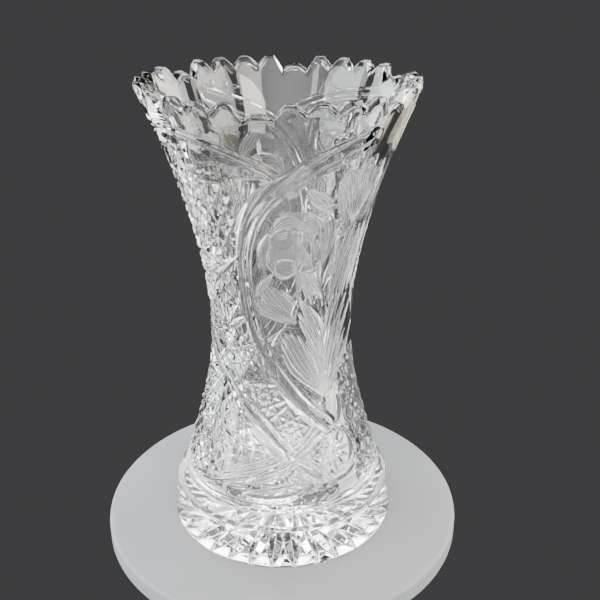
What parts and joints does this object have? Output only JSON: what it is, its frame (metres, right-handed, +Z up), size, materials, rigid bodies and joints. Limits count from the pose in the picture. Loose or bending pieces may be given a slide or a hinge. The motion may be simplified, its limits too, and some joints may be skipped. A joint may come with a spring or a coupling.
{
  "type": "cut crystal vase",
  "caption": "Flared hourglass vase of hand-cut lead crystal with a toothed rim, a stepped foot and a foil label under the rim.",
  "frame": {"origin": "centre of the foot's resting plane", "axes": "+Z up the vase's axis from the foot to the rim, -Y towards the front, +X to the right, under the label"},
  "size_m": [0.145, 0.145, 0.254],
  "materials": {
    "crystal": "polished lead crystal with cut facets and matt engraved flowers",
    "paper": "matt cream label paper, seen through the glass",
    "foil": "embossed metal foil, black with gold lines"
  },
  "bodies": {
    "root": {"crystal_body": "crystal", "label_paper": "paper", "label_foil": "foil"}
  },
  "joints": []
}
